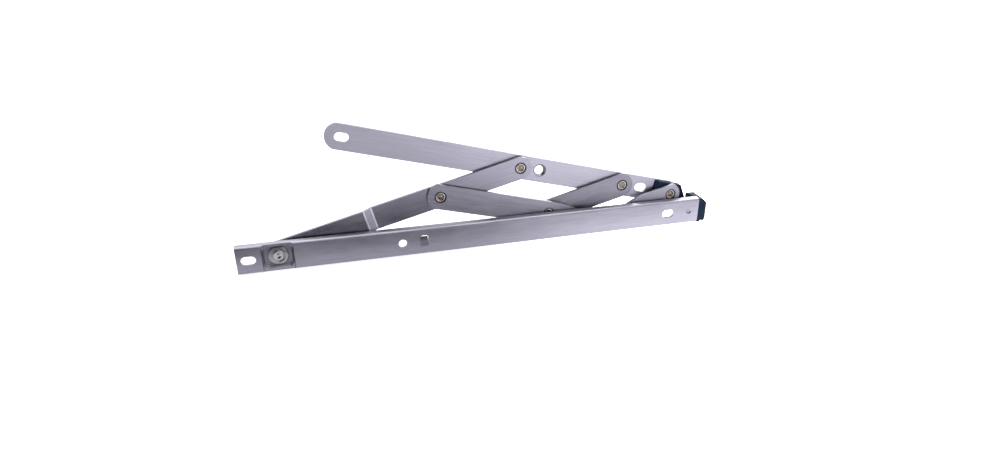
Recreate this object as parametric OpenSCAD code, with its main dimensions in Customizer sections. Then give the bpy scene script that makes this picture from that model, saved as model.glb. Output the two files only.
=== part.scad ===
// Friction stay for an outward opening window, left hand, shown partly open.
// X runs along the track from its free end to its end cap, Z is up across the track,
// and Y is the depth behind the track's outer face, which looks along -Y.
// The origin is the centre of the round fixing hole in that outer face.
// All sizes are in millimetres and degrees.

/* [Track] */
// Length of the folded track, without its end cap
track_length = 300; // [293:0.5:320]
// Width of the track over both flanges
track_width = 17.2; // [17:0.1:18.4]
// Depth of the channel behind the outer face
track_depth = 5; // [4.8:0.1:5.3]
// Thickness of the folded track sheet
track_sheet = 1.4; // [1.2:0.05:1.5]
// Outside radius of the two folds along the track
fold_radius = 1.8; // [1.5:0.1:2]
// Reach of each lip past the inside of its flange
lip_reach = 1; // [0.6:0.1:1.2]
// Free end of the track to the middle of its first slot
end_slot_inset = 6.8; // [6.2:0.1:8]
// Middle of the first slot to the fixed pivot
pivot_from_slot = 16.7; // [16.5:0.1:18]
// Round fixing hole to the stop tab
fixing_to_stop = 13.3; // [11:0.1:20]
// Middle of the second slot back from the track's end at the cap
cap_slot_setback = 23; // [20:0.5:26]
// Stake that holds the end cap, back from the track's end at the cap
stake_setback = 7.1; // [6:0.1:9]
// Length of each track slot from end to end
track_slot_length = 8.5; // [7:0.1:10]
// Width of each track slot
track_slot_width = 5.4; // [4.5:0.1:6.5]
// Diameter of the round fixing hole
fixing_hole_diameter = 5.2; // [4.5:0.1:7]
// Width of the stop tab's window along the track
stop_width = 5.2; // [4:0.1:6]
// Height of the stop tab's window across the track
stop_height = 8; // [7:0.1:9]
// Length of the pressed seat round the fixed pivot, at the outer face
seat_length = 18.4; // [17.6:0.1:20]
// Length of the flat floor of the pressed seat
seat_floor_length = 15.4; // [15:0.1:16.5]
// Height of that floor across the track
seat_floor_height = 12.2; // [12:0.1:13]
// Depth of the pressed seat
seat_depth = 3.9; // [3.5:0.05:4]
// Depth of the step that the pressed seat leaves in both folds
fold_step = 1.3; // [1:0.05:1.5]
// Height of the sloping wall above and below the seat floor
seat_wall_height = 0.85; // [0.8:0.05:1.2]
// Diameter of the stake that holds the end cap
stake_diameter = 4; // [3:0.1:4.2]

/* [Linkage] */
// Angle between the track and the sash arm as the stay is shown
open_angle = 14.35; // [8:0.05:22]
// Widest angle, where the shoe meets the stop tab
widest_angle = 61.9; // [55:0.1:64]
// Nose pivot to the track's end at the cap, with the stay closed
nose_gap = 10.9; // [10.4:0.1:12]
// Shoe end of the toe link to the nose pivot
toe_reach = 45.7; // [44.5:0.1:47]
// Distance between the two rivets of the shoe with the stay closed
shoe_spacing = 16.1; // [15:0.1:18]
// Tie pivot back from the shoe pivot along the brace arm
tie_setback = 28.8; // [27.5:0.1:30]
// Gap between the back of the track and the first layer of plates
track_gap = 1.3; // [1:0.05:1.4]

/* [Plates] */
// Thickness of every arm and link
plate = 2; // [1.8:0.05:2]
// Space that a washer keeps between two plates
plate_gap = 0.4; // [0.35:0.05:0.5]
// Width of the long arm
long_arm_width = 14.7; // [14:0.1:15.5]
// Length of the step in the long arm
step_length = 5; // [4:0.5:8]
// Fixed pivot to the start of the step in the long arm
step_start = 55; // [45:0.5:60]
// Width of the brace arm
brace_arm_width = 15.8; // [14:0.1:16]
// Brace arm past its pivot on the long arm
brace_arm_end = 8.1; // [8:0.1:9]
// Length of the brace arm's taper toward the slider shoe
brace_taper = 21.9; // [20:0.1:24]
// Width of the tie link
tie_link_width = 16; // [14:0.1:16.2]
// Tie link past the tie pivot
tie_link_end = 8; // [7.6:0.1:8.4]
// Tie link past the link pivot
tie_link_lead = 7.6; // [7.4:0.1:8]
// Width of the toe link
toe_link_width = 13.4; // [12.4:0.1:13.6]
// Length of the toe link's taper toward the slider shoe
toe_taper = 28.2; // [24:0.1:30]
// Toe link past the nose pivot
toe_link_lead = 6.8; // [6.4:0.1:7]
// Width of the sash arm
sash_arm_width = 15.6; // [15:0.1:16.2]
// Sash pivot to the free end of the sash arm
sash_arm_tail = 120.5; // [118:0.5:122]
// Steel of the sash arm past the nose pivot
sash_arm_lead = 4.4; // [4:0.1:4.6]
// Free end of the sash arm to the middle of its first slot
tail_slot_inset = 9.9; // [9:0.1:14]
// Nose pivot back to the middle of the second slot
nose_slot_setback = 21.4; // [20.5:0.1:23]
// Sash pivot forward to the countersunk screw hole
screw_hole_reach = 13.8; // [13:0.1:40]
// Length of each slot in the sash arm
sash_slot_length = 8.5; // [7:0.1:10]
// Width of each slot in the sash arm
sash_slot_width = 5.5; // [4.5:0.1:6.2]
// Diameter of the screw hole in the sash arm
screw_hole_diameter = 5.6; // [4:0.1:5.8]
// Diameter of the countersink of the screw hole
screw_sink_diameter = 8.6; // [7.8:0.1:10]

/* [Rivets and washers] */
// Diameter of the five link rivets
rivet_diameter = 4.8; // [4:0.1:5]
// Diameter of the formed rivet heads
head_diameter = 6; // [5.6:0.1:6.2]
// Diameter of the dish round each rivet head
dish_diameter = 7.5; // [7.3:0.1:9]
// Depth of the dish that keeps a rivet head flush
dish_depth = 0.7; // [0.5:0.05:0.8]
// Radial clearance of a plate that turns on a rivet
turn_clearance = 0.05; // [0.03:0.01:0.08]
// Clearance between a plate and the head or washer beside it
face_clearance = 0.1; // [0.06:0.01:0.12]
// Diameter of the washers between the plates
washer_diameter = 11; // [9:0.5:12]
// Diameter of the fixed pivot
pivot_diameter = 5; // [4.6:0.1:5.4]
// Diameter of the washer in the pressed seat
pivot_washer_diameter = 12; // [11.6:0.1:13.6]
// Height of that washer over its two flats
pivot_washer_height = 10.6; // [10.2:0.1:11.6]
// Thickness of the washer in the pressed seat
pivot_washer_thickness = 0.9; // [0.8:0.05:1]
// Diameter of the head on the fixed pivot
pivot_head_diameter = 6.4; // [6:0.1:7]
// Diameter of the bush under the long arm
bush_diameter = 11; // [9:0.1:12]
// Diameter of the two rivets in the slider shoe
shoe_rivet_diameter = 3.5; // [3:0.1:3.6]
// Diameter of the heads of those two rivets
shoe_head_diameter = 5.2; // [4.6:0.1:5.4]

/* [Slider shoe] */
// Slider shoe behind the brace pivot
shoe_back = 7; // [6:0.1:7.4]
// Slider shoe in front of the brace pivot
shoe_front = 45; // [40:0.5:50]
// Clearance of the shoe inside the track
shoe_clearance = 0.15; // [0.1:0.01:0.25]
// Clearance of the toe rivet in its slot
toe_clearance = 0.12; // [0.08:0.01:0.2]

/* [Nose and end cap] */
// Length of the pad under the sash arm, behind the nose pivot
pad_length = 12.2; // [11.5:0.1:13.5]
// Width of the nose cap across the arm
nose_width = 14; // [13:0.1:14.2]
// Reach of the nose tongue past the nose pivot
tongue_reach = 13.2; // [12.4:0.1:13.6]
// Play of the nose tongue in the end cap's mouth, front and back
mouth_play = 0.4; // [0.3:0.05:0.5]
// Wall of the end cap past its mouth
cap_wall = 4.6; // [4:0.1:6]
// Depth of the end cap behind the outer face of the track
cap_depth = 13.6; // [13.4:0.1:14.4]
// Length of the end cap's tongue inside the track
cap_tongue_length = 14; // [10:0.5:14]

/* [Hidden] */
$fn = 64;
eps = 0.01;

// Linkage: every arm is parallel to another, and all lie in one line when the stay is closed
pivot_inset = end_slot_inset + pivot_from_slot;
nose_reach = (track_length - pivot_inset - nose_gap - toe_reach) / 2;
arm_reach = nose_reach + toe_reach;
brace_reach = nose_reach - shoe_spacing / 2;
tie_offset = brace_reach - tie_setback;
link_length = arm_reach - brace_reach;
tail_slot_reach = sash_arm_tail - tail_slot_inset;
nose_slot_reach = nose_reach - nose_slot_setback;

// The stop tab stands where the back of the shoe comes at the widest angle
stop_inset = pivot_inset + 2 * brace_reach * cos(widest_angle) - shoe_back - stop_width / 2;
fixing_inset = stop_inset - fixing_to_stop;

// Track positions along X, measured from the round fixing hole
free_end = -fixing_inset;
cap_end = free_end + track_length;
half_width = track_width / 2;
inner_half = half_width - track_sheet;
lip_edge = inner_half - lip_reach;
pivot_x = free_end + pivot_inset;

// Pivots of the linkage in the plane of the track face, as X and Z
up = [cos(open_angle), sin(open_angle)];
down = [cos(open_angle), -sin(open_angle)];
fixed_pivot = [pivot_x, 0];
brace_pivot = fixed_pivot + brace_reach * up;
sash_pivot = fixed_pivot + arm_reach * up;
tie_pivot = brace_pivot + tie_offset * down;
link_pivot = sash_pivot + tie_offset * down;
nose_pivot = sash_pivot + nose_reach * down;
shoe_pivot = brace_pivot + brace_reach * down;
toe_pivot = nose_pivot - toe_reach * up;

// Depth of the three plate layers behind the outer face
first_layer = track_depth + track_gap;
second_layer = first_layer + plate + plate_gap;
third_layer = second_layer + plate + plate_gap;
stack_back = third_layer + plate;
shoe_top = first_layer - face_clearance;

// Rivets
rivet_radius = rivet_diameter / 2;
head_radius = head_diameter / 2;
shoe_rivet_radius = shoe_rivet_diameter / 2;
shoe_head_radius = shoe_head_diameter / 2;
pivot_radius = pivot_diameter / 2;
washer_thickness = plate_gap - face_clearance;

// Seat floor of the fixed pivot
floor_front = seat_depth;
floor_back = seat_depth + track_sheet;

// Slot in the shoe, from the least to the greatest travel of the toe rivet
toe_travel_closed = shoe_spacing;
toe_travel_open = shoe_spacing * cos(widest_angle);
toe_slot_half = shoe_rivet_radius + toe_clearance;
toe_head_half = shoe_head_radius + toe_clearance;

// End cap, placed by the nose as it stands with the stay closed
cap_jaw = cap_end - nose_gap + 7.3;
mouth_end = cap_end - nose_gap + tongue_reach + 1;
cap_tip = mouth_end + cap_wall;

// Plate drawn in X and Z and given a depth along Y
module slab(front, thick) {
    translate([0, front + thick, 0])
        rotate([90, 0, 0])
            linear_extrude(thick)
                children();
}

// Solid turned about Y from a profile of radius and depth
module turned(profile) {
    rotate([-90, 0, 0])
        rotate_extrude()
            polygon(profile);
}

// Place in the track's plane
module at(p) {
    translate([p[0], 0, p[1]])
        children();
}

// Turn about Y so that the far end rises
module raised(angle) {
    rotate([0, -angle, 0])
        children();
}

// Slot outline
module slot_outline(long, wide) {
    square([long - wide, wide], center = true);
    for (side = [-1, 1])
        translate([side * (long - wide) / 2, 0])
            circle(d = wide);
}

// Rectangle outline with round corners
module soft_rectangle(long, wide, corner) {
    square([long - 2 * corner, wide], center = true);
    square([long, wide - 2 * corner], center = true);
    for (sx = [-1, 1])
        for (sz = [-1, 1])
            translate([sx * (long / 2 - corner), sz * (wide / 2 - corner)])
                circle(corner);
}

// Bar outline whose two ends are arcs, with corners where an arc is wider than the bar
module bar_outline(from, to, wide, from_radius, to_radius) {
    translate([from + from_radius, -wide / 2])
        square([to - to_radius - from - from_radius, wide]);
    intersection() {
        translate([from + from_radius, 0])
            circle(from_radius);
        translate([from, -wide / 2])
            square([from_radius, wide]);
    }
    intersection() {
        translate([to - to_radius, 0])
            circle(to_radius);
        translate([to - to_radius, -wide / 2])
            square([to_radius, wide]);
    }
}

// Tapered end of a plate, from its full half width down to a round tip, in three slopes; each
// step gives a share of the taper's length and a share of the half width that it sheds
module taper_outline(long, half, tip, steps) {
    shed = half - tip;
    a = [steps[0][0] * long, tip + steps[0][1] * shed];
    b = [steps[1][0] * long, tip + steps[1][1] * shed];
    polygon([[long + 1, half], [long, half], a, b, [0, tip], [0, -tip], [b[0], -b[1]],
             [a[0], -a[1]], [long, -half], [long + 1, -half]]);
    circle(tip);
}

// Hole through a plate with a dish for a flush head on its front face
module front_dish_hole(front, thick, bore) {
    turned([[0, front - 1], [dish_diameter / 2, front - 1], [dish_diameter / 2, front],
            [head_radius + 0.2, front + dish_depth], [bore, front + dish_depth],
            [bore, front + thick + 1], [0, front + thick + 1]]);
}

// Hole through a plate with a dish for a flush head on its back face
module back_dish_hole(front, thick, bore, head, dish) {
    back = front + thick;
    turned([[0, front - 1], [bore, front - 1], [bore, back - dish_depth],
            [head + 0.2, back - dish_depth], [dish, back], [dish, back + 1], [0, back + 1]]);
}

// Rivet with a flush formed head at each end; the gaps are left under its heads
module flush_rivet(front, back, radius, head, front_gap, back_gap) {
    f = front + 0.06;
    b = back - 0.06;
    fs = front + dish_depth - front_gap;
    bs = back - dish_depth + back_gap;
    pit = head * 0.55;
    turned([[0, f + 0.35], [pit, f + 0.35], [pit + 0.35, f], [head - 0.3, f], [head, f + 0.25],
            [head, fs], [radius, fs], [radius, bs], [head, bs], [head, b - 0.25],
            [head - 0.3, b], [pit + 0.35, b], [pit, b - 0.35], [0, b - 0.35]]);
}

// Flat washer
module flat_washer(front, thick, bore, outside) {
    turned([[bore, front], [outside, front], [outside, front + thick], [bore, front + thick]]);
}

// Channel section, drawn with depth along X and height along Y
module channel_section() {
    difference() {
        union() {
            translate([fold_radius, -half_width])
                square([track_depth - fold_radius, track_width]);
            translate([0, -half_width + fold_radius])
                square([track_depth, track_width - 2 * fold_radius]);
            for (side = [-1, 1])
                translate([fold_radius, side * (half_width - fold_radius)])
                    circle(fold_radius);
        }
        translate([track_sheet, -inner_half])
            square([track_depth - 2 * track_sheet, 2 * inner_half]);
        translate([track_sheet, -lip_edge])
            square([track_depth, 2 * lip_edge]);
    }
}

// Cut that forms the pressed seat: sloping walls down to its floor, and a step in both folds
module seat_cut() {
    slope = (seat_length - seat_floor_length) / seat_depth;
    rim_length = seat_length - slope * fold_step;
    hull() {
        slab(fold_step - eps, eps)
            soft_rectangle(rim_length, seat_floor_height + 2 * seat_wall_height, 2.8);
        slab(seat_depth - eps, eps)
            soft_rectangle(seat_floor_length, seat_floor_height, 2.2);
    }
    hull() {
        slab(-1, eps)
            soft_rectangle(seat_length + slope, track_width + 6, 5);
        slab(fold_step - eps, eps)
            soft_rectangle(rim_length, track_width + 2, 3.4);
    }
}

// Tongue of the stop tab, bent back into the channel
module stop_tongue() {
    low = -stop_height / 2;
    translate([-stop_width / 2 + 0.1, 0, 0])
        rotate([90, 0, 90])
            linear_extrude(stop_width - 0.2)
                polygon([[0, low - 0.3], [track_sheet, low - 0.3], [1.5, low + 1], [2, low + 2.4],
                         [2.9, low + 4.1], [3.8, low + 5.7], [2.8, low + 6.3], [1.9, low + 4.8],
                         [0.9, low + 3], [0.25, low + 1.6], [0, low + 0.6]]);
}

module track() {
    color("silver")
        difference() {
            union() {
                translate([free_end, 0, 0])
                    rotate([90, 0, 90])
                        linear_extrude(track_length)
                            channel_section();
                at(fixed_pivot)
                    slab(track_sheet / 2, seat_depth / 2)
                        soft_rectangle(seat_length + 1, 2 * inner_half + eps, 2);
                at(fixed_pivot)
                    slab(seat_depth / 2, floor_back - seat_depth / 2)
                        soft_rectangle(seat_floor_length + 3, 2 * inner_half + eps, 1.6);
                at([cap_end - stake_setback, 0])
                    slab(track_sheet - eps, 0.6 + eps)
                        circle(d = stake_diameter - 0.6);
            }
            at(fixed_pivot)
                seat_cut();
            at(fixed_pivot)
                slab(0, floor_back + 1)
                    circle(pivot_radius);
            for (x = [free_end + end_slot_inset, cap_end - cap_slot_setback])
                at([x, 0])
                    slab(-1, 4)
                        slot_outline(track_slot_length, track_slot_width);
            slab(-1, 4)
                circle(d = fixing_hole_diameter);
            at([free_end + stop_inset, 0])
                slab(-1, 4)
                    soft_rectangle(stop_width, stop_height, 1.6);
            at([cap_end - stake_setback, 0])
                turned([[0, -1], [stake_diameter / 2, -1], [stake_diameter / 2, 0],
                        [stake_diameter / 4, 0.9], [0, 0.9]]);
        }
    color("silver")
        at([free_end + stop_inset, 0])
            stop_tongue();
}

// Front outline of the end cap, with its chamfered outer corners
module cap_front_outline() {
    roof = half_width - 0.3;
    polygon([[cap_jaw - 1, -half_width], [mouth_end - 0.7, -half_width],
             [mouth_end + 1.7, -half_width + 0.8], [cap_tip, -half_width + 2.4],
             [cap_tip, half_width - 5], [mouth_end - 0.5, roof], [cap_jaw - 1, roof]]);
}

// Outline of the end cap seen from above, X along and Y as depth; its back is a wedge that
// guides the nose into the mouth
module cap_top_outline() {
    polygon([[cap_end, 0], [cap_tip - 2.3, 0], [cap_tip, 3], [cap_tip, cap_depth - 1],
             [cap_tip - 1, cap_depth], [cap_jaw, cap_depth], [cap_jaw + 0.2, cap_depth - 0.5],
             [cap_end, track_depth + 1], [cap_end, track_depth]]);
}

module end_cap() {
    mouth_front = second_layer - plate_gap - mouth_play;
    mouth_deep = plate + 2 * plate_gap - face_clearance + 2 * mouth_play;
    color("darkslategray")
        difference() {
            union() {
                intersection() {
                    slab(-1, cap_depth + 2)
                        cap_front_outline();
                    translate([0, 0, -half_width - 1])
                        linear_extrude(track_width + 2)
                            cap_top_outline();
                }
                at([cap_end - cap_tongue_length / 2 + 1, 0])
                    slab(track_sheet, track_depth - 2 * track_sheet - 0.1)
                        soft_rectangle(cap_tongue_length + 2, 2 * inner_half - 0.2, 1.5);
                at([cap_end - 1, 0])
                    slab(track_sheet, track_depth - track_sheet)
                        soft_rectangle(4.6, 2 * lip_edge - 0.2, 0.5);
            }
            at([cap_end - stake_setback, 0])
                slab(track_sheet - 1, 1.8)
                    circle(d = stake_diameter - 0.4);
            slab(mouth_front, mouth_deep)
                polygon([[cap_jaw - 3, -half_width + 1.8], [mouth_end, -half_width + 1.8],
                         [mouth_end, -0.2], [mouth_end - 1.2, -0.2], [mouth_end - 5.6, 7.5],
                         [mouth_end - 5.6, half_width + 1], [cap_jaw - 3, half_width + 1]]);
            at([cap_end + 3, -half_width])
                slab(-1, 3)
                    circle(1.1);
        }
}

module slider_shoe() {
    wing_back = track_depth - track_sheet - shoe_clearance;
    wing_front = track_sheet + shoe_clearance;
    shoe_mid = (shoe_front - shoe_back) / 2;
    shoe_long = shoe_front + shoe_back;
    slot_from = toe_travel_open - toe_slot_half;
    slot_to = toe_travel_closed + toe_slot_half;
    color("midnightblue")
        at(shoe_pivot)
            difference() {
                union() {
                    translate([shoe_mid, 0, 0])
                        slab(wing_front, wing_back - wing_front)
                            soft_rectangle(shoe_long, 2 * (inner_half - shoe_clearance), 1.5);
                    translate([shoe_mid, 0, 0])
                        slab(wing_front, shoe_top - wing_front)
                            soft_rectangle(shoe_long, 2 * (lip_edge - shoe_clearance), 1.2);
                }
                slab(0, shoe_top + 1)
                    circle(shoe_rivet_radius);
                slab(0, wing_front + dish_depth + 0.4)
                    circle(shoe_head_radius + 0.2);
                translate([(slot_from + slot_to) / 2, 0, 0])
                    slab(0, shoe_top + 1)
                        slot_outline(slot_to - slot_from, 2 * toe_slot_half);
                translate([(slot_from + slot_to) / 2, 0, 0])
                    slab(0, wing_front + dish_depth + 0.4)
                        slot_outline(slot_to - slot_from + 2 * (toe_head_half - toe_slot_half),
                                     2 * toe_head_half);
                for (x = [shoe_front - 19, shoe_front - 8])
                    translate([x, 0, 0])
                        slab(0, shoe_top - 1)
                            soft_rectangle(8, 2 * lip_edge - 3, 1);
            }
}

module long_arm() {
    rise = second_layer - first_layer;
    wide = long_arm_width;
    r = wide / 2;
    color("gainsboro")
        at(fixed_pivot)
            raised(open_angle)
                difference() {
                    union() {
                        slab(first_layer, plate)
                            union() {
                                circle(r);
                                translate([0, -r])
                                    square([step_start, wide]);
                            }
                        translate([0, 0, -r])
                            linear_extrude(wide)
                                polygon([[step_start - eps, first_layer],
                                         [step_start - eps, first_layer + plate],
                                         [step_start + step_length + eps, second_layer + plate],
                                         [step_start + step_length + eps, second_layer]]);
                        slab(second_layer, plate)
                            union() {
                                translate([step_start + step_length, -r])
                                    square([arm_reach - step_start - step_length, wide]);
                                translate([arm_reach, 0])
                                    circle(r);
                            }
                    }
                    back_dish_hole(first_layer, plate, pivot_radius + turn_clearance,
                                   head_radius + 0.3, dish_diameter / 2 + 0.3);
                    translate([brace_reach, 0, 0])
                        back_dish_hole(second_layer, plate, rivet_radius, head_radius,
                                       dish_diameter / 2);
                    translate([arm_reach, 0, 0])
                        front_dish_hole(second_layer, plate, rivet_radius);
                }
}

module brace_arm() {
    tip = toe_travel_open / 2 + 0.15;
    h = brace_arm_width / 2;
    color("lightgray")
        at(brace_pivot)
            raised(-open_angle)
                difference() {
                    slab(first_layer, plate)
                        union() {
                            bar_outline(-brace_arm_end, brace_reach - brace_taper, 2 * h, h + 1.2,
                                        eps);
                            translate([brace_reach, 0])
                                rotate(180)
                                    taper_outline(brace_taper, h, tip,
                                                  [[0.635, 0.646], [0.338, 0.217]]);
                        }
                    front_dish_hole(first_layer, plate, rivet_radius + turn_clearance);
                    translate([tie_offset, 0, 0])
                        front_dish_hole(first_layer, plate, rivet_radius);
                    translate([brace_reach, 0, 0])
                        back_dish_hole(first_layer, plate, shoe_rivet_radius + turn_clearance,
                                       shoe_head_radius, shoe_head_radius + 0.5);
                }
}

module tie_link() {
    h = tie_link_width / 2;
    color("lightgray")
        at(tie_pivot)
            raised(open_angle)
                difference() {
                    slab(second_layer, plate)
                        bar_outline(-tie_link_end, link_length + tie_link_lead, 2 * h, h + 0.6,
                                    h + 0.3);
                    back_dish_hole(second_layer, plate, rivet_radius + turn_clearance, head_radius,
                                   dish_diameter / 2);
                    translate([link_length, 0, 0])
                        front_dish_hole(second_layer, plate, rivet_radius + turn_clearance);
                }
}

module toe_link() {
    tip = toe_travel_open / 2 - 0.25;
    h = toe_link_width / 2;
    color("lightgray")
        at(nose_pivot)
            raised(open_angle)
                difference() {
                    slab(first_layer, plate)
                        union() {
                            bar_outline(toe_taper - toe_reach, toe_link_lead, 2 * h, eps, h + 1.3);
                            translate([-toe_reach, 0])
                                taper_outline(toe_taper, h, tip,
                                              [[0.709, 0.747], [0.447, 0.209]]);
                        }
                    front_dish_hole(first_layer, plate, rivet_radius + turn_clearance);
                    translate([-toe_reach, 0, 0])
                        back_dish_hole(first_layer, plate, shoe_rivet_radius, shoe_head_radius,
                                       shoe_head_radius + 0.3);
                }
}

// Outline of the sash arm about its sash pivot
module sash_arm_outline(extra) {
    bar_outline(-sash_arm_tail, nose_reach + sash_arm_lead + extra, sash_arm_width,
                sash_arm_width / 2 + 0.3, 9.5 + extra);
}

module sash_arm() {
    color("gainsboro")
        at(sash_pivot)
            raised(-open_angle)
                difference() {
                    slab(third_layer, plate)
                        sash_arm_outline(0);
                    for (x = [-tail_slot_reach, nose_slot_reach])
                        translate([x, 0, 0])
                            slab(third_layer - 1, plate + 2)
                                slot_outline(sash_slot_length, sash_slot_width);
                    translate([screw_hole_reach, 0, 0])
                        turned([[0, third_layer - 1], [screw_sink_diameter / 2, third_layer - 1],
                                [screw_sink_diameter / 2, third_layer],
                                [screw_hole_diameter / 2, third_layer + 1.2],
                                [screw_hole_diameter / 2, stack_back + 1], [0, stack_back + 1]]);
                    back_dish_hole(third_layer, plate, rivet_radius + turn_clearance, head_radius,
                                   dish_diameter / 2);
                    translate([tie_offset, 0, 0])
                        back_dish_hole(third_layer, plate, rivet_radius, head_radius,
                                       dish_diameter / 2);
                    translate([nose_reach, 0, 0])
                        back_dish_hole(third_layer, plate, rivet_radius, head_radius,
                                       head_radius + 0.6);
                }
}

module nose_cap() {
    pad_front = first_layer + plate + face_clearance;
    n = nose_width / 2;
    color("darkslategray")
        at(nose_pivot)
            raised(-open_angle)
                difference() {
                    union() {
                        translate([0, 0, -n])
                            linear_extrude(nose_width)
                                polygon([[-pad_length, third_layer], [-pad_length, third_layer - 0.7],
                                         [-pad_length + 2, pad_front], [4.5, pad_front],
                                         [4.5, third_layer]]);
                        slab(pad_front, stack_back - face_clearance - pad_front)
                            polygon([[1, n], [7, n], [5.2, -n], [1, -n]]);
                        slab(pad_front, third_layer - face_clearance - pad_front)
                            polygon([[4, n], [7, n], [tongue_reach, -1.4], [tongue_reach, -4],
                                     [tongue_reach - 1.6, -5.6], [5.1, -n], [4, -n]]);
                    }
                    slab(third_layer, 4)
                        translate([-nose_reach, 0])
                            sash_arm_outline(0);
                    slab(0, third_layer + 1)
                        circle(rivet_radius + turn_clearance);
                }
}

// Fixed pivot: head in the pressed seat, shank through floor, bush and long arm
module track_rivet() {
    head = pivot_head_diameter / 2;
    seat = floor_front - pivot_washer_thickness / 2;
    top = seat - 0.6;
    back = first_layer + plate;
    under = back - dish_depth + face_clearance / 2;
    far_head = head_radius + 0.3;
    color("silver")
        at(fixed_pivot)
            turned([[0, seat - 0.1], [0.9, seat], [head - 1.4, top + 0.1], [head - 1.1, top],
                    [head - 0.4, top], [head, top + 0.3], [head, seat], [pivot_radius, seat],
                    [pivot_radius, under],
                    [far_head, under], [far_head, back - 0.3], [far_head - 0.3, back - 0.06],
                    [2, back - 0.06], [1.6, back - 0.4], [0, back - 0.4]]);
}

// Washer in the pressed seat, dished for the pivot's head, with a flat above and below
module pivot_washer() {
    thick = pivot_washer_thickness;
    front = floor_front - thick;
    outside = pivot_washer_diameter / 2;
    bore = pivot_radius + turn_clearance;
    dish = pivot_head_diameter / 2 + 0.5;
    color("silver")
        at(fixed_pivot)
            intersection() {
                turned([[bore, front + thick / 2], [dish, front + thick / 2],
                        [dish + 0.5, front], [outside - 0.5, front], [outside, front + 0.4],
                        [outside, floor_front], [bore, floor_front]]);
                slab(front - 1, thick + 2)
                    square([20, pivot_washer_height], center = true);
            }
}

module pivot_bush() {
    color("dimgray")
        at(fixed_pivot)
            flat_washer(floor_back, first_layer - face_clearance - floor_back,
                        pivot_radius + turn_clearance, bush_diameter / 2);
}

module brace_rivet() {
    color("silver")
        at(brace_pivot)
            flush_rivet(first_layer, second_layer + plate, rivet_radius, head_radius,
                        face_clearance / 2, 0);
}

module brace_washer() {
    color("dimgray")
        at(brace_pivot)
            flat_washer(second_layer - washer_thickness, washer_thickness,
                        rivet_radius + turn_clearance, washer_diameter / 2);
}

module sash_rivet() {
    color("silver")
        at(sash_pivot)
            flush_rivet(second_layer, stack_back, rivet_radius, head_radius, 0, face_clearance / 2);
}

module sash_washer() {
    color("dimgray")
        at(sash_pivot)
            flat_washer(second_layer + plate, washer_thickness, rivet_radius + turn_clearance,
                        washer_diameter / 2);
}

module tie_rivet() {
    color("silver")
        at(tie_pivot)
            flush_rivet(first_layer, second_layer + plate, rivet_radius, head_radius, 0,
                        face_clearance / 2);
}

module tie_washer() {
    color("dimgray")
        at(tie_pivot)
            flat_washer(first_layer + plate, washer_thickness, rivet_radius + turn_clearance,
                        washer_diameter / 2);
}

module link_rivet() {
    color("silver")
        at(link_pivot)
            flush_rivet(second_layer, stack_back, rivet_radius, head_radius, face_clearance / 2, 0);
}

module link_washer() {
    color("dimgray")
        at(link_pivot)
            flat_washer(third_layer - washer_thickness, washer_thickness,
                        rivet_radius + turn_clearance, washer_diameter / 2);
}

module nose_rivet() {
    color("silver")
        at(nose_pivot)
            flush_rivet(first_layer, stack_back, rivet_radius, head_radius, face_clearance / 2, 0);
}

// Rivet that carries the slider shoe on the brace arm
module shoe_rivet() {
    front = track_sheet + shoe_clearance + 0.4;
    color("silver")
        at(shoe_pivot)
            flush_rivet(front, first_layer + plate, shoe_rivet_radius, shoe_head_radius, 0,
                        face_clearance / 2);
}

// Rivet of the toe link, free to run along the slot in the slider shoe
module toe_rivet() {
    front = track_sheet + shoe_clearance + 0.4;
    color("silver")
        at(toe_pivot)
            flush_rivet(front, first_layer + plate, shoe_rivet_radius, shoe_head_radius,
                        face_clearance / 2, 0);
}

track();
end_cap();
slider_shoe();
long_arm();
brace_arm();
tie_link();
toe_link();
sash_arm();
nose_cap();
track_rivet();
pivot_washer();
pivot_bush();
brace_rivet();
brace_washer();
sash_rivet();
sash_washer();
tie_rivet();
tie_washer();
link_rivet();
link_washer();
nose_rivet();
shoe_rivet();
toe_rivet();
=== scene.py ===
# %% [markdown]
# # A window friction stay
# This lesson dresses a finished steel linkage. The solids are right already, so the work is in
# the looks: edges with a small radius that catches the light, rolled steel with streaks that run
# along every strip, formed rivet heads, and moulded plastic.

# %% Load the solids
import math

import bmesh
import bpy
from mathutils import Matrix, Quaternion, Vector


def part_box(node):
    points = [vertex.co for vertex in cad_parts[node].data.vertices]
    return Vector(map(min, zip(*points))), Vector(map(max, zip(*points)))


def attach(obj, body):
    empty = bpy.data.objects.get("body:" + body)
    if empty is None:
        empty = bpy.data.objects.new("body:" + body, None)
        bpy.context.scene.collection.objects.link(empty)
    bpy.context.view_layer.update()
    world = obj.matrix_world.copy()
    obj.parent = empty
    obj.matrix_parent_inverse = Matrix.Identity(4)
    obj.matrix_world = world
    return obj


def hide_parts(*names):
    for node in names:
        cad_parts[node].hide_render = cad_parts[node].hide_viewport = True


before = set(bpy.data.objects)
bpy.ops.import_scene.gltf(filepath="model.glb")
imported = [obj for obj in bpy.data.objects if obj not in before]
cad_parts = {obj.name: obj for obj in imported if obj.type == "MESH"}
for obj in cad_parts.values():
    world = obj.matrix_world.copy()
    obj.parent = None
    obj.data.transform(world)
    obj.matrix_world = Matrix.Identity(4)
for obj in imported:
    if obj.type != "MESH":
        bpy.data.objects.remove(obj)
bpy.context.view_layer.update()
MM = 0.001

# %% [markdown]
# ## Colours and nodes
# A designer's colours are written as sRGB hex, as a colour picker gives them. Blender's shaders
# work in linear light, so one function converts them. A second one adds a shader node with its
# settings and links, which keeps each recipe readable as a list of steps.

# %% Two small helpers
def linear(hex_colour):
    """Linear RGBA of an sRGB hex colour."""
    parts = [int(hex_colour[i:i + 2], 16) / 255 for i in (1, 3, 5)]
    return [c / 12.92 if c <= 0.04045 else ((c + 0.055) / 1.055) ** 2.4 for c in parts] + [1.0]


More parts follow.
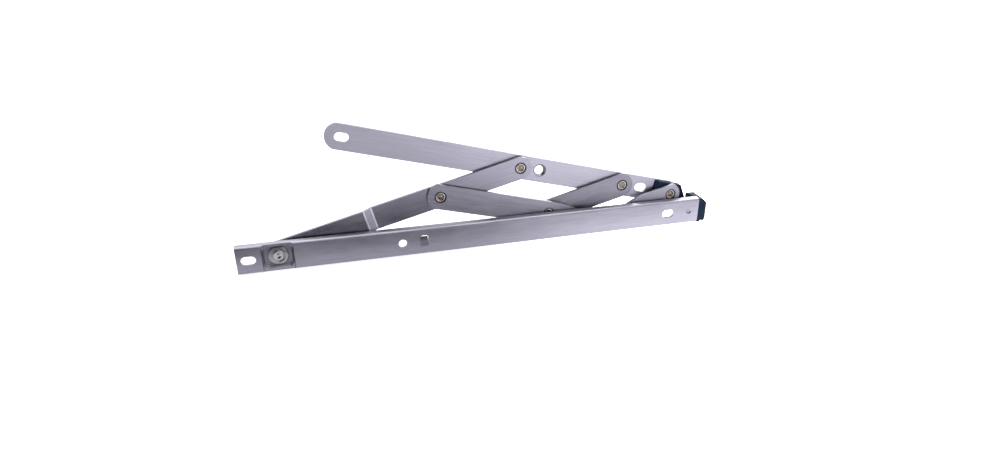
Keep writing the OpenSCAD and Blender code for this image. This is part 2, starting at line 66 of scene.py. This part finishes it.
def add(tree, kind, inputs=None, **settings):
    """One node, with its settings, and its inputs as values or as links from other nodes."""
    made = tree.nodes.new(kind)
    for key, value in settings.items():
        setattr(made, key, value)
    for key, value in (inputs or {}).items():
        if isinstance(value, bpy.types.NodeSocket):
            tree.links.new(value, made.inputs[key])
        else:
            made.inputs[key].default_value = value
    return made


def new_material(name):
    """An empty material and its output node."""
    material = bpy.data.materials.new(name)
    material.use_nodes = True
    material.node_tree.nodes.clear()
    return material, material.node_tree


# %% [markdown]
# ## Rolled stainless steel
# The strips are cold rolled austenitic stainless, about 2 mm thick, with a satin mill finish.
# Rolling leaves hair lines along the strip. They are far finer than this picture, but they decide
# how the strip shines: light spreads across the lines and hardly along them. So the reflection is
# anisotropic, with its tangent laid along each strip. Two slower things are added: soft clouds
# where handling and grease change the gloss, and a faint waviness that makes reflections swim.

# %% Steel for the track and the arms
# Rise of the opened arms over the track, and size of the hair lines and of the clouds in metres:
# along the strip, through it and across it.
OPEN_ANGLE = math.radians(14.35)
HAIR_SIZE = (0.03, 0.01, 0.0006)
CLOUD_SIZE = (0.022, 0.012, 0.007)
# Colour of the painted shade in the rivet dishes and on the seat's floor, and of the painted
# highlight on the bends and the seat's walls.
PAINTED_SHADE_COLOUR = "#2b2725"
PAINTED_HIGHLIGHT_COLOUR = "#d6d3d8"


def rolled_stainless(name, deep, pale, gloss, rise):
    """Satin rolled stainless whose hair lines run along a strip that rises at this angle.

    One face attribute paints shade into the rivet dishes and the seat's floor, and another paints
    a highlight on the long arm's bends and the seat's walls.
    """
    material, tree = new_material(name)
    place = add(tree, "ShaderNodeTexCoord").outputs["Object"]
    lay = {"vector_type": "TEXTURE"}
    turn = (0, -rise, 0)
    hair_place = add(tree, "ShaderNodeMapping",
                     {"Vector": place, "Rotation": turn, "Scale": HAIR_SIZE}, **lay)
    cloud_place = add(tree, "ShaderNodeMapping",
                      {"Vector": place, "Rotation": turn, "Scale": CLOUD_SIZE}, **lay)
    hair = add(tree, "ShaderNodeTexNoise",
               {"Vector": hair_place.outputs[0], "Scale": 1.0, "Detail": 4.0, "Roughness": 0.6})
    cloud = add(tree, "ShaderNodeTexNoise",
                {"Vector": cloud_place.outputs[0], "Scale": 1.0, "Detail": 3.0, "Roughness": 0.6})
    tone = add(tree, "ShaderNodeMath", {0: hair.outputs["Fac"], 1: cloud.outputs["Fac"]},
               operation="ADD")
    share = add(tree, "ShaderNodeMapRange",
                {"Value": tone.outputs[0], "From Min": 0.7, "From Max": 1.3})
    colour = add(tree, "ShaderNodeMix", {0: share.outputs[0], 6: linear(deep), 7: linear(pale)},
                 data_type="RGBA")
    # Painted shade: the marked dish walls and seat floor turn dark.
    painted_shade = add(tree, "ShaderNodeAttribute", attribute_name="painted_shade")
    shaded_colour = add(tree, "ShaderNodeMix",
                 {0: painted_shade.outputs["Fac"], 6: colour.outputs[2], 7: linear(PAINTED_SHADE_COLOUR)},
                 data_type="RGBA")
    # Painted highlight: the marked bends and seat walls turn pale.
    painted_highlight = add(tree, "ShaderNodeAttribute", attribute_name="painted_highlight")
    wear_and_highlight = add(tree, "ShaderNodeMix",
                 {0: painted_highlight.outputs["Fac"], 6: shaded_colour.outputs[2], 7: linear(PAINTED_HIGHLIGHT_COLOUR)},
                 data_type="RGBA")
    rough = add(tree, "ShaderNodeMapRange",
                {"Value": cloud.outputs["Fac"], "From Min": 0.3, "From Max": 0.7,
                 "To Min": gloss - 0.05, "To Max": gloss + 0.07})
    wave = add(tree, "ShaderNodeBump",
               {"Height": cloud.outputs["Fac"], "Strength": 0.3, "Distance": 0.3 * MM})
    grain = add(tree, "ShaderNodeBump", {"Height": hair.outputs["Fac"], "Strength": 0.2,
                                         "Distance": 0.04 * MM, "Normal": wave.outputs[0]})
    along = add(tree, "ShaderNodeVectorTransform",
                {"Vector": (math.cos(rise), 0, math.sin(rise))},
                vector_type="VECTOR", convert_from="OBJECT", convert_to="WORLD")
    steel = add(tree, "ShaderNodeBsdfPrincipled",
                {"Base Color": wear_and_highlight.outputs[2], "Metallic": 1.0, "Roughness": rough.outputs[0],
                 "Anisotropic": 0.75, "Anisotropic Rotation": 0.25, "Tangent": along.outputs[0],
                 "Normal": grain.outputs[0]})
    add(tree, "ShaderNodeOutputMaterial", {"Surface": steel.outputs[0]})
    return material


# Colours of the darkest and the palest hair lines, and roughness, of each strip. The strips are
# one
# steel: the long arm, the tie link and the brace arm are set darker as painted shade.
track_steel = rolled_stainless("rolled stainless, track", "#888690", "#9a98a3", 0.36, 0.0)
long_arm_steel = rolled_stainless("rolled stainless, long arm", "#7c7a85", "#918f9a", 0.3,
                                  OPEN_ANGLE)
link_steel = rolled_stainless("rolled stainless, links", "#7f7d87", "#9c99a3", 0.36, OPEN_ANGLE)
tie_steel = rolled_stainless("rolled stainless, tie link", "#6c6a74", "#8b8893", 0.36,
                             OPEN_ANGLE)
brace_steel = rolled_stainless("rolled stainless, brace arm", "#76747e", "#918f99", 0.38,
                               -OPEN_ANGLE)
sash_steel = rolled_stainless("rolled stainless, sash arm", "#8a8892", "#9d9aa5", 0.34,
                              -OPEN_ANGLE)

# %% [markdown]
# ## Formed rivets and washers
# A rivet head is spun or pressed cold, which burnishes it: it is glossier than the strip round
# it, and slightly warmer, because the pressed centre keeps a film of oil. Washers are stamped
# from the same sheet and stay plain.

# %% Steel for the rivets and washers
def stamped_stainless(name, colour, pressed, gloss, grit):
    """Stainless worked cold, with fine grain; the pressed centre of a head has its own colour."""
    material, tree = new_material(name)
    place = add(tree, "ShaderNodeTexCoord").outputs["Object"]
    grain = add(tree, "ShaderNodeTexNoise",
                {"Vector": place, "Scale": 1 / (0.5 * MM), "Detail": 1.0})
    centre = add(tree, "ShaderNodeAttribute", attribute_name="pressed")
    tint = add(tree, "ShaderNodeMix",
               {0: centre.outputs["Fac"], 6: linear(colour), 7: linear(pressed)},
               data_type="RGBA")
    rough = add(tree, "ShaderNodeMapRange",
                {"Value": grain.outputs["Fac"], "To Min": gloss - 0.06, "To Max": gloss + 0.08})
    bump = add(tree, "ShaderNodeBump",
               {"Height": grain.outputs["Fac"], "Strength": grit, "Distance": 0.1 * MM})
    steel = add(tree, "ShaderNodeBsdfPrincipled",
                {"Base Color": tint.outputs[2], "Metallic": 1.0, "Roughness": rough.outputs[0],
                 "Normal": bump.outputs[0]})
    add(tree, "ShaderNodeOutputMaterial", {"Surface": steel.outputs[0]})
    return material


rivet_steel = stamped_stainless("formed stainless, rivets", "#aaa7a5", "#776c60", 0.2, 0.55)
washer_steel = stamped_stainless("stamped stainless, washers", "#8f8d92", "#8f8d92", 0.28, 0.1)

# %% [markdown]
# ## Moulded plastic
# The end cap and the nose are glass filled nylon in a dark navy, and the shoe is a slicker blue
# acetal. Moulding leaves a fine spark textured skin: matt straight on, with a sheen at the edges.

# %% Plastic for the caps and the shoe
def moulded_plastic(name, colour, worn, gloss):
    """Moulded engineering plastic with a fine skin and a little variation from wear."""
    material, tree = new_material(name)
    place = add(tree, "ShaderNodeTexCoord").outputs["Object"]
    skin = add(tree, "ShaderNodeTexNoise",
               {"Vector": place, "Scale": 1 / (0.35 * MM), "Detail": 2.0})
    wear_and_highlight = add(tree, "ShaderNodeTexNoise",
                 {"Vector": place, "Scale": 1 / (5 * MM), "Detail": 3.0})
    share = add(tree, "ShaderNodeMapRange",
                {"Value": wear_and_highlight.outputs["Fac"], "From Min": 0.4, "From Max": 0.75})
    tint = add(tree, "ShaderNodeMix", {0: share.outputs[0], 6: linear(colour), 7: linear(worn)},
               data_type="RGBA")
    rough = add(tree, "ShaderNodeMapRange",
                {"Value": wear_and_highlight.outputs["Fac"], "To Min": gloss - 0.06, "To Max": gloss + 0.08})
    bump = add(tree, "ShaderNodeBump",
               {"Height": skin.outputs["Fac"], "Strength": 0.25, "Distance": 0.06 * MM})
    plastic = add(tree, "ShaderNodeBsdfPrincipled",
                  {"Base Color": tint.outputs[2], "Roughness": rough.outputs[0], "IOR": 1.53,
                   "Specular IOR Level": 0.05, "Normal": bump.outputs[0]})
    add(tree, "ShaderNodeOutputMaterial", {"Surface": plastic.outputs[0]})
    return material


cap_plastic = moulded_plastic("moulded nylon, caps", "#101d2c", "#182738", 0.42)
shoe_plastic = moulded_plastic("moulded acetal, shoe", "#1c2937", "#263443", 0.36)

# %% [markdown]
# ## Soft edges
# No real edge is a perfect corner. Blanking rounds one side of a plate, tumbling rounds the
# other, and a mould has radii everywhere. That thin radius is what shows as a bright line. Each
# solid is copied, its loose triangles are merged into clean faces, and a bevel modifier rounds
# every edge. Normals are then weighted by face area, so that the wide faces shade dead flat and
# the narrow bevels carry the whole turn. The copy then stands for the solid.
#
# Two marks are laid on the faces on the way, and both are painted light. Painted shade darkens
# the dishes round the rivets as a dark ring, and a little the floor of the pressed seat. A painted
# highlight lightens the two long bends of the long arm and the walls of the seat, most the walls
# facing up.

# %% Copies with rounded edges
# Radii between which shade is painted round a rivet. Half length, half height and depth of the
# pressed seat. How strong each painted shade and highlight is.
HEAD_EDGE, DISH_EDGE = 3.05 * MM, 3.9 * MM
SEAT_REACH, SEAT_HALF, SEAT_FLOOR = 9.6 * MM, 7.2 * MM, 3.9 * MM
RING_SHADE, FLOOR_SHADE = 0.9, 0.35
BEND_HIGHLIGHT, SEAT_HIGHLIGHT, SEAT_SIDE_HIGHLIGHT = 0.8, 0.8, 0.3
# Angles: what counts as flat, the bends of the long arm, and what counts as an edge.
FLAT, BEND, EDGE = math.radians(0.4), (math.radians(20), math.radians(31)), math.radians(32)
WELD, SLIVER = 0.002 * MM, 0.02 * MM
BEND_LENGTH, BEND_ROUNDING = 10 * MM, 0.5 * MM
seat = (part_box("track_rivet")[0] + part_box("track_rivet")[1]) / 2
rivet_axes = [(low + high) / 2 for low, high in
              (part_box(node) for node in ("brace_rivet", "sash_rivet", "tie_rivet", "link_rivet",
                                         "nose_rivet"))]


def press_bends(shape, painted_highlight):
    """Round the long bends of an arm, wider than its edges, and paint a highlight on them."""
    bmesh.ops.remove_doubles(shape, verts=shape.verts, dist=SLIVER)
    bends = [edge for edge in shape.edges
             if len(edge.link_faces) == 2 and edge.calc_length() > BEND_LENGTH
             and BEND[0] < abs(edge.calc_face_angle_signed()) < BEND[1]]
    made = bmesh.ops.bevel(shape, geom=bends, offset=BEND_ROUNDING, segments=3,
                           profile=0.5, affect="EDGES", clamp_overlap=False)
    for face in made["faces"]:
        face[painted_highlight] = BEND_HIGHLIGHT


def paint_shade_and_highlights(node, shape, painted_highlight, painted_shade):
    """Painted shade round the rivets and on the seat's floor, and a painted highlight on the
    seat's walls.
    """
    for face in shape.faces:
        middle, turned = face.calc_center_median(), abs(face.normal.y)
        if turned < 0.9 and any(
                HEAD_EDGE < math.hypot(middle.x - axis.x, middle.z - axis.z) < DISH_EDGE
                for axis in rivet_axes):
            face[painted_shade] = RING_SHADE
        if node != "track":
            continue
        if face.normal.y < -0.9 and abs(middle.y - SEAT_FLOOR) < 0.2 * MM:
            face[painted_shade] = FLOOR_SHADE
        if (0.2 < turned < 0.6 and 0 < middle.y < SEAT_FLOOR
                and abs(middle.x - seat.x) < SEAT_REACH and abs(middle.z) < SEAT_HALF):
            face[painted_highlight] = SEAT_HIGHLIGHT if face.normal.z > 0.3 else SEAT_SIDE_HIGHLIGHT


def soften(node, body, material, radius):
    """A copy of a solid with rounded edges, which stands for it."""
    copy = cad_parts[node].copy()
    copy.data = copy.data.copy()
    copy.parent = None
    copy.name = "soft_" + node
    for key in list(copy.keys()):
        del copy[key]
    bpy.context.scene.collection.objects.link(copy)
    shape = bmesh.new()
    shape.from_mesh(copy.data)
    bmesh.ops.remove_doubles(shape, verts=shape.verts, dist=WELD)
    bmesh.ops.dissolve_limit(shape, angle_limit=FLAT, verts=shape.verts, edges=shape.edges,
                             use_dissolve_boundaries=False)
    # Face layers for the painted highlight and the painted shade.
    shape.faces.layers.float.new("painted_highlight")
    painted_shade = shape.faces.layers.float.new("painted_shade")
    painted_highlight = shape.faces.layers.float["painted_highlight"]
    if node == "long_arm":
        press_bends(shape, painted_highlight)
    for face in shape.faces:
        face.smooth = True
    paint_shade_and_highlights(node, shape, painted_highlight, painted_shade)
    shape.to_mesh(copy.data)
    shape.free()
    copy.data.materials.clear()
    copy.data.materials.append(material)
    rounding = copy.modifiers.new("rounded edges", "BEVEL")
    rounding.width = radius * MM
    rounding.segments = 2
    rounding.limit_method = "ANGLE"
    rounding.angle_limit = EDGE
    flat = copy.modifiers.new("flat faces", "WEIGHTED_NORMAL")
    flat.weight = 90
    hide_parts(node)
    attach(copy, body)
    return copy


# Node, body, material, and radius of the edges in mm.
soft_pieces = [
    soften("track", "track_body", track_steel, 0.06),
    soften("long_arm", "long_arm_body", long_arm_steel, 0.2),
    soften("brace_arm", "brace_body", brace_steel, 0.2),
    soften("tie_link", "tie_body", tie_steel, 0.2),
    soften("toe_link", "toe_body", link_steel, 0.2),
    soften("sash_arm", "sash_body", sash_steel, 0.2),
    soften("end_cap", "track_body", cap_plastic, 0.4),
    soften("nose_cap", "sash_body", cap_plastic, 0.3),
    soften("slider_shoe", "shoe_body", shoe_plastic, 0.25),
    soften("pivot_washer", "track_body", washer_steel, 0.25),
]
print("softened:", [piece.name for piece in soft_pieces])

# %% [markdown]
# ## Formed rivet heads
# A rivet starts as a plain pin. A tool with a ring and a nib forms each end: the ring rolls the
# rim over, and the nib presses the centre in. All the link rivets repeat this one shape at
# different lengths, so one node tree makes them: each rivet is a line from face to face, the
# shank is swept along it, and a turned head is set on both ends.

# %% A node tree that sets a formed head on each end of a line
HEAD_THICKNESS, PIT_DEPTH = 0.6 * MM, 0.55 * MM
LINK_SHANK, SHOE_SHANK = 2.4 * MM, 1.75 * MM
PRESSED_SHARE, SHANK_START = 0.76, 0.16


def rivet_tree():
    """Lines in, riveted pins out."""
    tree = bpy.data.node_groups.new("formed rivets", "GeometryNodeTree")
    face = tree.interface
    face.new_socket("Geometry", in_out="INPUT", socket_type="NodeSocketGeometry")
    for label, value in (("Head Radius", 3.0 * MM), ("Head Thickness", HEAD_THICKNESS),
                         ("Shank Radius", LINK_SHANK), ("Pit Depth", PIT_DEPTH)):
        face.new_socket(label, in_out="INPUT", socket_type="NodeSocketFloat").default_value = value
    face.new_socket("Material", in_out="INPUT", socket_type="NodeSocketMaterial")
    face.new_socket("Geometry", in_out="OUTPUT", socket_type="NodeSocketGeometry")
    given = tree.nodes.new("NodeGroupInput").outputs
    # Section of the head: share of the radius, share of the pit depth, share of the thickness.
    # Curve to Mesh lays the second coordinate downward, so depth counts into the head.
    section = [(0.0, 0.5, 0), (0.2, 0.56, 0), (0.3, 0.8, 0), (0.5, 1.0, 0), (0.62, 0.95, 0),
               (0.67, 0.6, 0), (0.72, 0.25, 0), (0.79, 0.04, 0), (0.86, 0.0, 0), (0.93, 0.1, 0),
               (0.98, 0.35, 0), (1.0, 0.7, 0), (1.0, 0, 1.0), (0.0, 0, 1.0)]
    choose = add(tree, "GeometryNodeIndexSwitch", data_type="VECTOR")
    while len(choose.index_switch_items) < len(section):
        choose.index_switch_items.new()
    for number, (out, sunk, thick) in enumerate(section):
        x = add(tree, "ShaderNodeMath", {0: given["Head Radius"], 1: out}, operation="MULTIPLY")
        pit = add(tree, "ShaderNodeMath", {0: given["Pit Depth"], 1: sunk}, operation="MULTIPLY")
        z = add(tree, "ShaderNodeMath",
                {0: given["Head Thickness"], 1: thick, 2: pit.outputs[0]},
                operation="MULTIPLY_ADD")
        point = add(tree, "ShaderNodeCombineXYZ", {0: x.outputs[0], 1: z.outputs[0]})
        tree.links.new(point.outputs[0], choose.inputs[number + 1])
    tree.links.new(add(tree, "GeometryNodeInputIndex").outputs[0], choose.inputs["Index"])
    row = add(tree, "GeometryNodeMeshLine", {"Count": len(section)})
    bent = add(tree, "GeometryNodeSetPosition",
               {"Geometry": row.outputs[0], "Position": choose.outputs[0]})
    profile = add(tree, "GeometryNodeMeshToCurve", {"Mesh": bent.outputs[0]})
    ring = add(tree, "GeometryNodeCurvePrimitiveCircle", {"Resolution": 40, "Radius": 1e-7})
    turned = add(tree, "GeometryNodeCurveToMesh",
                 {"Curve": ring.outputs[0], "Profile Curve": profile.outputs[0]})
    sealed = add(tree, "GeometryNodeMergeByDistance",
                 {"Geometry": turned.outputs[0], "Distance": 1e-6})
    where = add(tree, "GeometryNodeInputPosition").outputs[0]
    spot = add(tree, "ShaderNodeSeparateXYZ", {0: where})
    flat = add(tree, "ShaderNodeCombineXYZ", {0: spot.outputs[0], 1: spot.outputs[1]})
    span = add(tree, "ShaderNodeVectorMath", {0: flat.outputs[0]}, operation="LENGTH")
    reach = add(tree, "ShaderNodeMath", {0: given["Head Radius"], 1: PRESSED_SHARE},
                operation="MULTIPLY")
    inside = add(tree, "ShaderNodeMath", {0: span.outputs["Value"], 1: reach.outputs[0]},
                 operation="LESS_THAN")
    marked = add(tree, "GeometryNodeStoreNamedAttribute",
                 {"Geometry": sealed.outputs[0], "Name": "pressed", "Value": inside.outputs[0]},
                 data_type="FLOAT", domain="POINT")
    line = add(tree, "GeometryNodeMeshToCurve", {"Mesh": given["Geometry"]})
    first = add(tree, "GeometryNodeCurveEndpointSelection", {"Start Size": 1, "End Size": 0})
    side = add(tree, "ShaderNodeMath", {0: first.outputs[0], 1: -2.0, 2: 1.0},
               operation="MULTIPLY_ADD")
    outward = add(tree, "ShaderNodeVectorMath",
                  {0: add(tree, "GeometryNodeInputTangent").outputs[0], "Scale": side.outputs[0]},
                  operation="SCALE")
    facing = add(tree, "FunctionNodeAlignRotationToVector", {"Vector": outward.outputs[0]},
                 axis="Z")
    heads = add(tree, "GeometryNodeInstanceOnPoints",
                {"Points": line.outputs[0], "Instance": marked.outputs[0],
                 "Rotation": facing.outputs[0]})
    hoop = add(tree, "GeometryNodeCurvePrimitiveCircle",
               {"Resolution": 32, "Radius": given["Shank Radius"]})
    trimmed = add(tree, "GeometryNodeTrimCurve", {"Curve": line.outputs[0]})
    trimmed.inputs[2].default_value = SHANK_START
    trimmed.inputs[3].default_value = 1 - SHANK_START
    shank = add(tree, "GeometryNodeCurveToMesh",
                {"Curve": trimmed.outputs[0], "Profile Curve": hoop.outputs[0], "Fill Caps": True})
    whole = add(tree, "GeometryNodeJoinGeometry")
    tree.links.new(heads.outputs[0], whole.inputs[0])
    tree.links.new(shank.outputs[0], whole.inputs[0])
    real = add(tree, "GeometryNodeRealizeInstances", {"Geometry": whole.outputs[0]})
    smooth = add(tree, "GeometryNodeSetShadeSmooth", {"Geometry": real.outputs[0]})
    steel = add(tree, "GeometryNodeSetMaterial",
                {"Geometry": smooth.outputs[0], "Material": given["Material"]})
    tree.links.new(steel.outputs[0], tree.nodes.new("NodeGroupOutput").inputs[0])
    return tree


# %% [markdown]
# ## A rivet for each joint
# The tree is used once for each body that carries rivets, so that they turn with it. Each rivet
# starts and ends where the solid's box does, and the first box gives the radius of the heads. The
# rivets of the slider shoe have a thinner shank, because the shoe is only as wide as the channel.

# %% Rivets for each body, where the solids have them
def formed_rivets(body, nodes, tree, shank_radius):
    """One plain mesh of all the rivets of a body, placed by the boxes of its solids."""
    boxes = [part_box(node) for node in nodes]
    points = []
    for low, high in boxes:
        middle = (low + high) / 2
        points += [(middle.x, low.y, middle.z), (middle.x, high.y, middle.z)]
    lines = bpy.data.meshes.new("rivet lines")
    lines.from_pydata(points, [(2 * i, 2 * i + 1) for i in range(len(nodes))], [])
    made = bpy.data.objects.new("rivets_" + body, lines)
    bpy.context.scene.collection.objects.link(made)
    nodes_modifier = made.modifiers.new("formed rivets", "NODES")
    nodes_modifier.node_group = tree
    values = {"Head Radius": (boxes[0][1].x - boxes[0][0].x) / 2,
              "Head Thickness": HEAD_THICKNESS, "Shank Radius": shank_radius,
              "Pit Depth": PIT_DEPTH, "Material": rivet_steel}
    for item in tree.interface.items_tree:
        if item.in_out == "INPUT" and item.name in values:
            nodes_modifier[item.identifier] = values[item.name]
    evaluated = made.evaluated_get(bpy.context.evaluated_depsgraph_get())
    plain = bpy.data.meshes.new_from_object(evaluated)
    made.modifiers.remove(nodes_modifier)
    made.data = plain
    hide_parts(*nodes)
    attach(made, body)
    return made


rivets = rivet_tree()
for body, nodes, shank_radius in (("long_arm_body", ["brace_rivet", "sash_rivet"], LINK_SHANK),
                                  ("brace_body", ["tie_rivet"], LINK_SHANK),
                                  ("sash_body", ["link_rivet", "nose_rivet"], LINK_SHANK),
                                  ("shoe_body", ["shoe_rivet"], SHOE_SHANK),
                                  ("toe_body", ["toe_rivet"], SHOE_SHANK)):
    row = formed_rivets(body, nodes, rivets, shank_radius)
    print(row.name, "faces", len(row.data.polygons))

# %% [markdown]
# ## The rest of the steel
# The fixed pivot, the bush and the thin washers between the arms are turned or stamped, and their
# edges are too small to see. They keep their solids and only get a finish.

# %% Finishes for the solids that stay as they are
for name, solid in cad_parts.items():
    if name == "track_rivet":
        finish = rivet_steel
    elif name.endswith(("_washer", "_bush")):
        finish = washer_steel
    else:
        continue
    for slot in solid.material_slots:
        slot.material = finish

# %% [markdown]
# ## Floor, light and camera
# The stay stands on its long edge on a light table. Steel shows what is round it, so the room
# matters more than the lamps: it is a white tent with one dark side, to the front and left, where
# the photographer stands. The track's left half and the rising arms turn that side to the camera.
# The table glows more to the right, and a dark card lies flat in front of the stay. The card is
# seen only in the steel: it keeps the upper half of the track and the foot of the arms dark.

# %% Floor
FLOOR_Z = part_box("track")[0].z
bpy.ops.mesh.primitive_plane_add(size=60, location=(0, 0, FLOOR_Z))
floor = bpy.context.object
floor.name = "floor"
paper, tree = new_material("light table")
spot = add(tree, "ShaderNodeSeparateXYZ", {0: add(tree, "ShaderNodeTexCoord").outputs["Object"]})
glow = add(tree, "ShaderNodeMapRange",
           {"Value": spot.outputs[0], "From Min": 0.02, "From Max": 0.17, "To Min": 0.75,
            "To Max": 2.1}, interpolation_type="SMOOTHSTEP")
matt = add(tree, "ShaderNodeBsdfPrincipled",
           {"Base Color": linear("#bcbcc0"), "Roughness": 0.6, "Specular IOR Level": 0.1,
            "Emission Color": linear("#fbfbff"), "Emission Strength": glow.outputs[0]})
add(tree, "ShaderNodeOutputMaterial", {"Surface": matt.outputs[0]})
floor.data.materials.append(paper)

# %% Dark card
CARD_X = (-0.17, 0.25)
CARD_Y = (-0.075, -0.017)
bpy.ops.mesh.primitive_plane_add(size=1)
card = bpy.context.object
card.name = "dark card"
card.location = (sum(CARD_X) / 2, sum(CARD_Y) / 2, FLOOR_Z + 1 * MM)
card.scale = (CARD_X[1] - CARD_X[0], CARD_Y[1] - CARD_Y[0], 1)
velvet, tree = new_material("dark card")
across = add(tree, "ShaderNodeSeparateXYZ", {0: add(tree, "ShaderNodeTexCoord").outputs["Object"]})
fade = add(tree, "ShaderNodeMapRange",
           {"Value": across.outputs[0], "From Min": -0.05, "From Max": 0.2, "To Max": 0.42},
           interpolation_type="SMOOTHSTEP")
dark = add(tree, "ShaderNodeBsdfDiffuse", {"Color": linear("#1c1c22")})
clear = add(tree, "ShaderNodeBsdfTransparent")
shade = add(tree, "ShaderNodeMixShader",
            {0: fade.outputs[0], 1: dark.outputs[0], 2: clear.outputs[0]})
add(tree, "ShaderNodeOutputMaterial", {"Surface": shade.outputs[0]})
card.data.materials.append(velvet)
card.visible_camera = False
card.visible_diffuse = False
card.visible_shadow = False

# %% Room
world = bpy.data.worlds.new("studio")
bpy.context.scene.world = world
world.use_nodes = True
tree = world.node_tree
tree.nodes.clear()
way = add(tree, "ShaderNodeTexCoord").outputs["Generated"]
DARK_SIDE = Vector((-0.45, -0.8, 0.4)).normalized()
near = add(tree, "ShaderNodeVectorMath", {0: way, 1: DARK_SIDE}, operation="DOT_PRODUCT")
fall = add(tree, "ShaderNodeMapRange",
           {"Value": near.outputs["Value"], "From Min": 0.45, "From Max": 0.85, "To Min": 1.6,
            "To Max": 0.08}, interpolation_type="SMOOTHSTEP")
room = add(tree, "ShaderNodeBackground",
           {"Color": linear("#f4f3f8"), "Strength": fall.outputs[0]})
add(tree, "ShaderNodeOutputWorld", {"Surface": room.outputs[0]})


# %% Lamps
def softbox(name, place, aim, size, power):
    """A rectangular studio lamp, with its size in metres and power in watts, facing a point."""
    lamp = bpy.data.lights.new(name, "AREA")
    lamp.shape = "RECTANGLE"
    lamp.size, lamp.size_y = size
    lamp.energy = power
    holder = bpy.data.objects.new(name, lamp)
    holder.location = place
    holder.rotation_euler = (Vector(aim) - Vector(place)).to_track_quat("-Z", "Y").to_euler()
    bpy.context.scene.collection.objects.link(holder)
    return holder


softbox("top lamp", (0.1, 0.35, 0.9), (0.05, 0, 0), (1.0, 0.6), 6)
softbox("front lamp", (0.2, -0.42, 0.9), (0.05, 0, 0), (0.5, 0.12), 1.5)
softbox("right lamp", (0.55, 0.45, 0.45), (0.15, 0, 0), (0.4, 0.3), 4)

# %% [markdown]
# ## Camera
# The camera stands in front of the left end, at the height of a seated photographer's hand, and
# looks down by 28 degrees. Its lens is given in pixels of the picture's width. The shift moves
# the picture's centre to where the lens points.

# %% Camera
FRAME_WIDTH = 998
FRAME_HEIGHT = 472
FOCAL_PIXELS = 751.4
CENTRE_PIXEL = (533.6, 281.2)
camera_data = bpy.data.cameras.new("camera")
camera = bpy.data.objects.new("camera", camera_data)
bpy.context.scene.collection.objects.link(camera)
camera.location = (-0.05592, -0.42174, 0.19692)
look = Vector((0.280201, 0.838378, -0.467558))
roll = Quaternion((0, 0, 1), math.radians(1.269))
camera.rotation_euler = (look.to_track_quat("-Z", "Y") @ roll).to_euler()
camera_data.sensor_width = 36
camera_data.lens = FOCAL_PIXELS * 36 / FRAME_WIDTH
camera_data.shift_x = (FRAME_WIDTH / 2 - CENTRE_PIXEL[0]) / FRAME_WIDTH
camera_data.shift_y = (CENTRE_PIXEL[1] - FRAME_HEIGHT / 2) / FRAME_WIDTH
camera_data.clip_start = 0.01
bpy.context.scene.camera = camera
bpy.context.scene.view_settings.view_transform = "Standard"
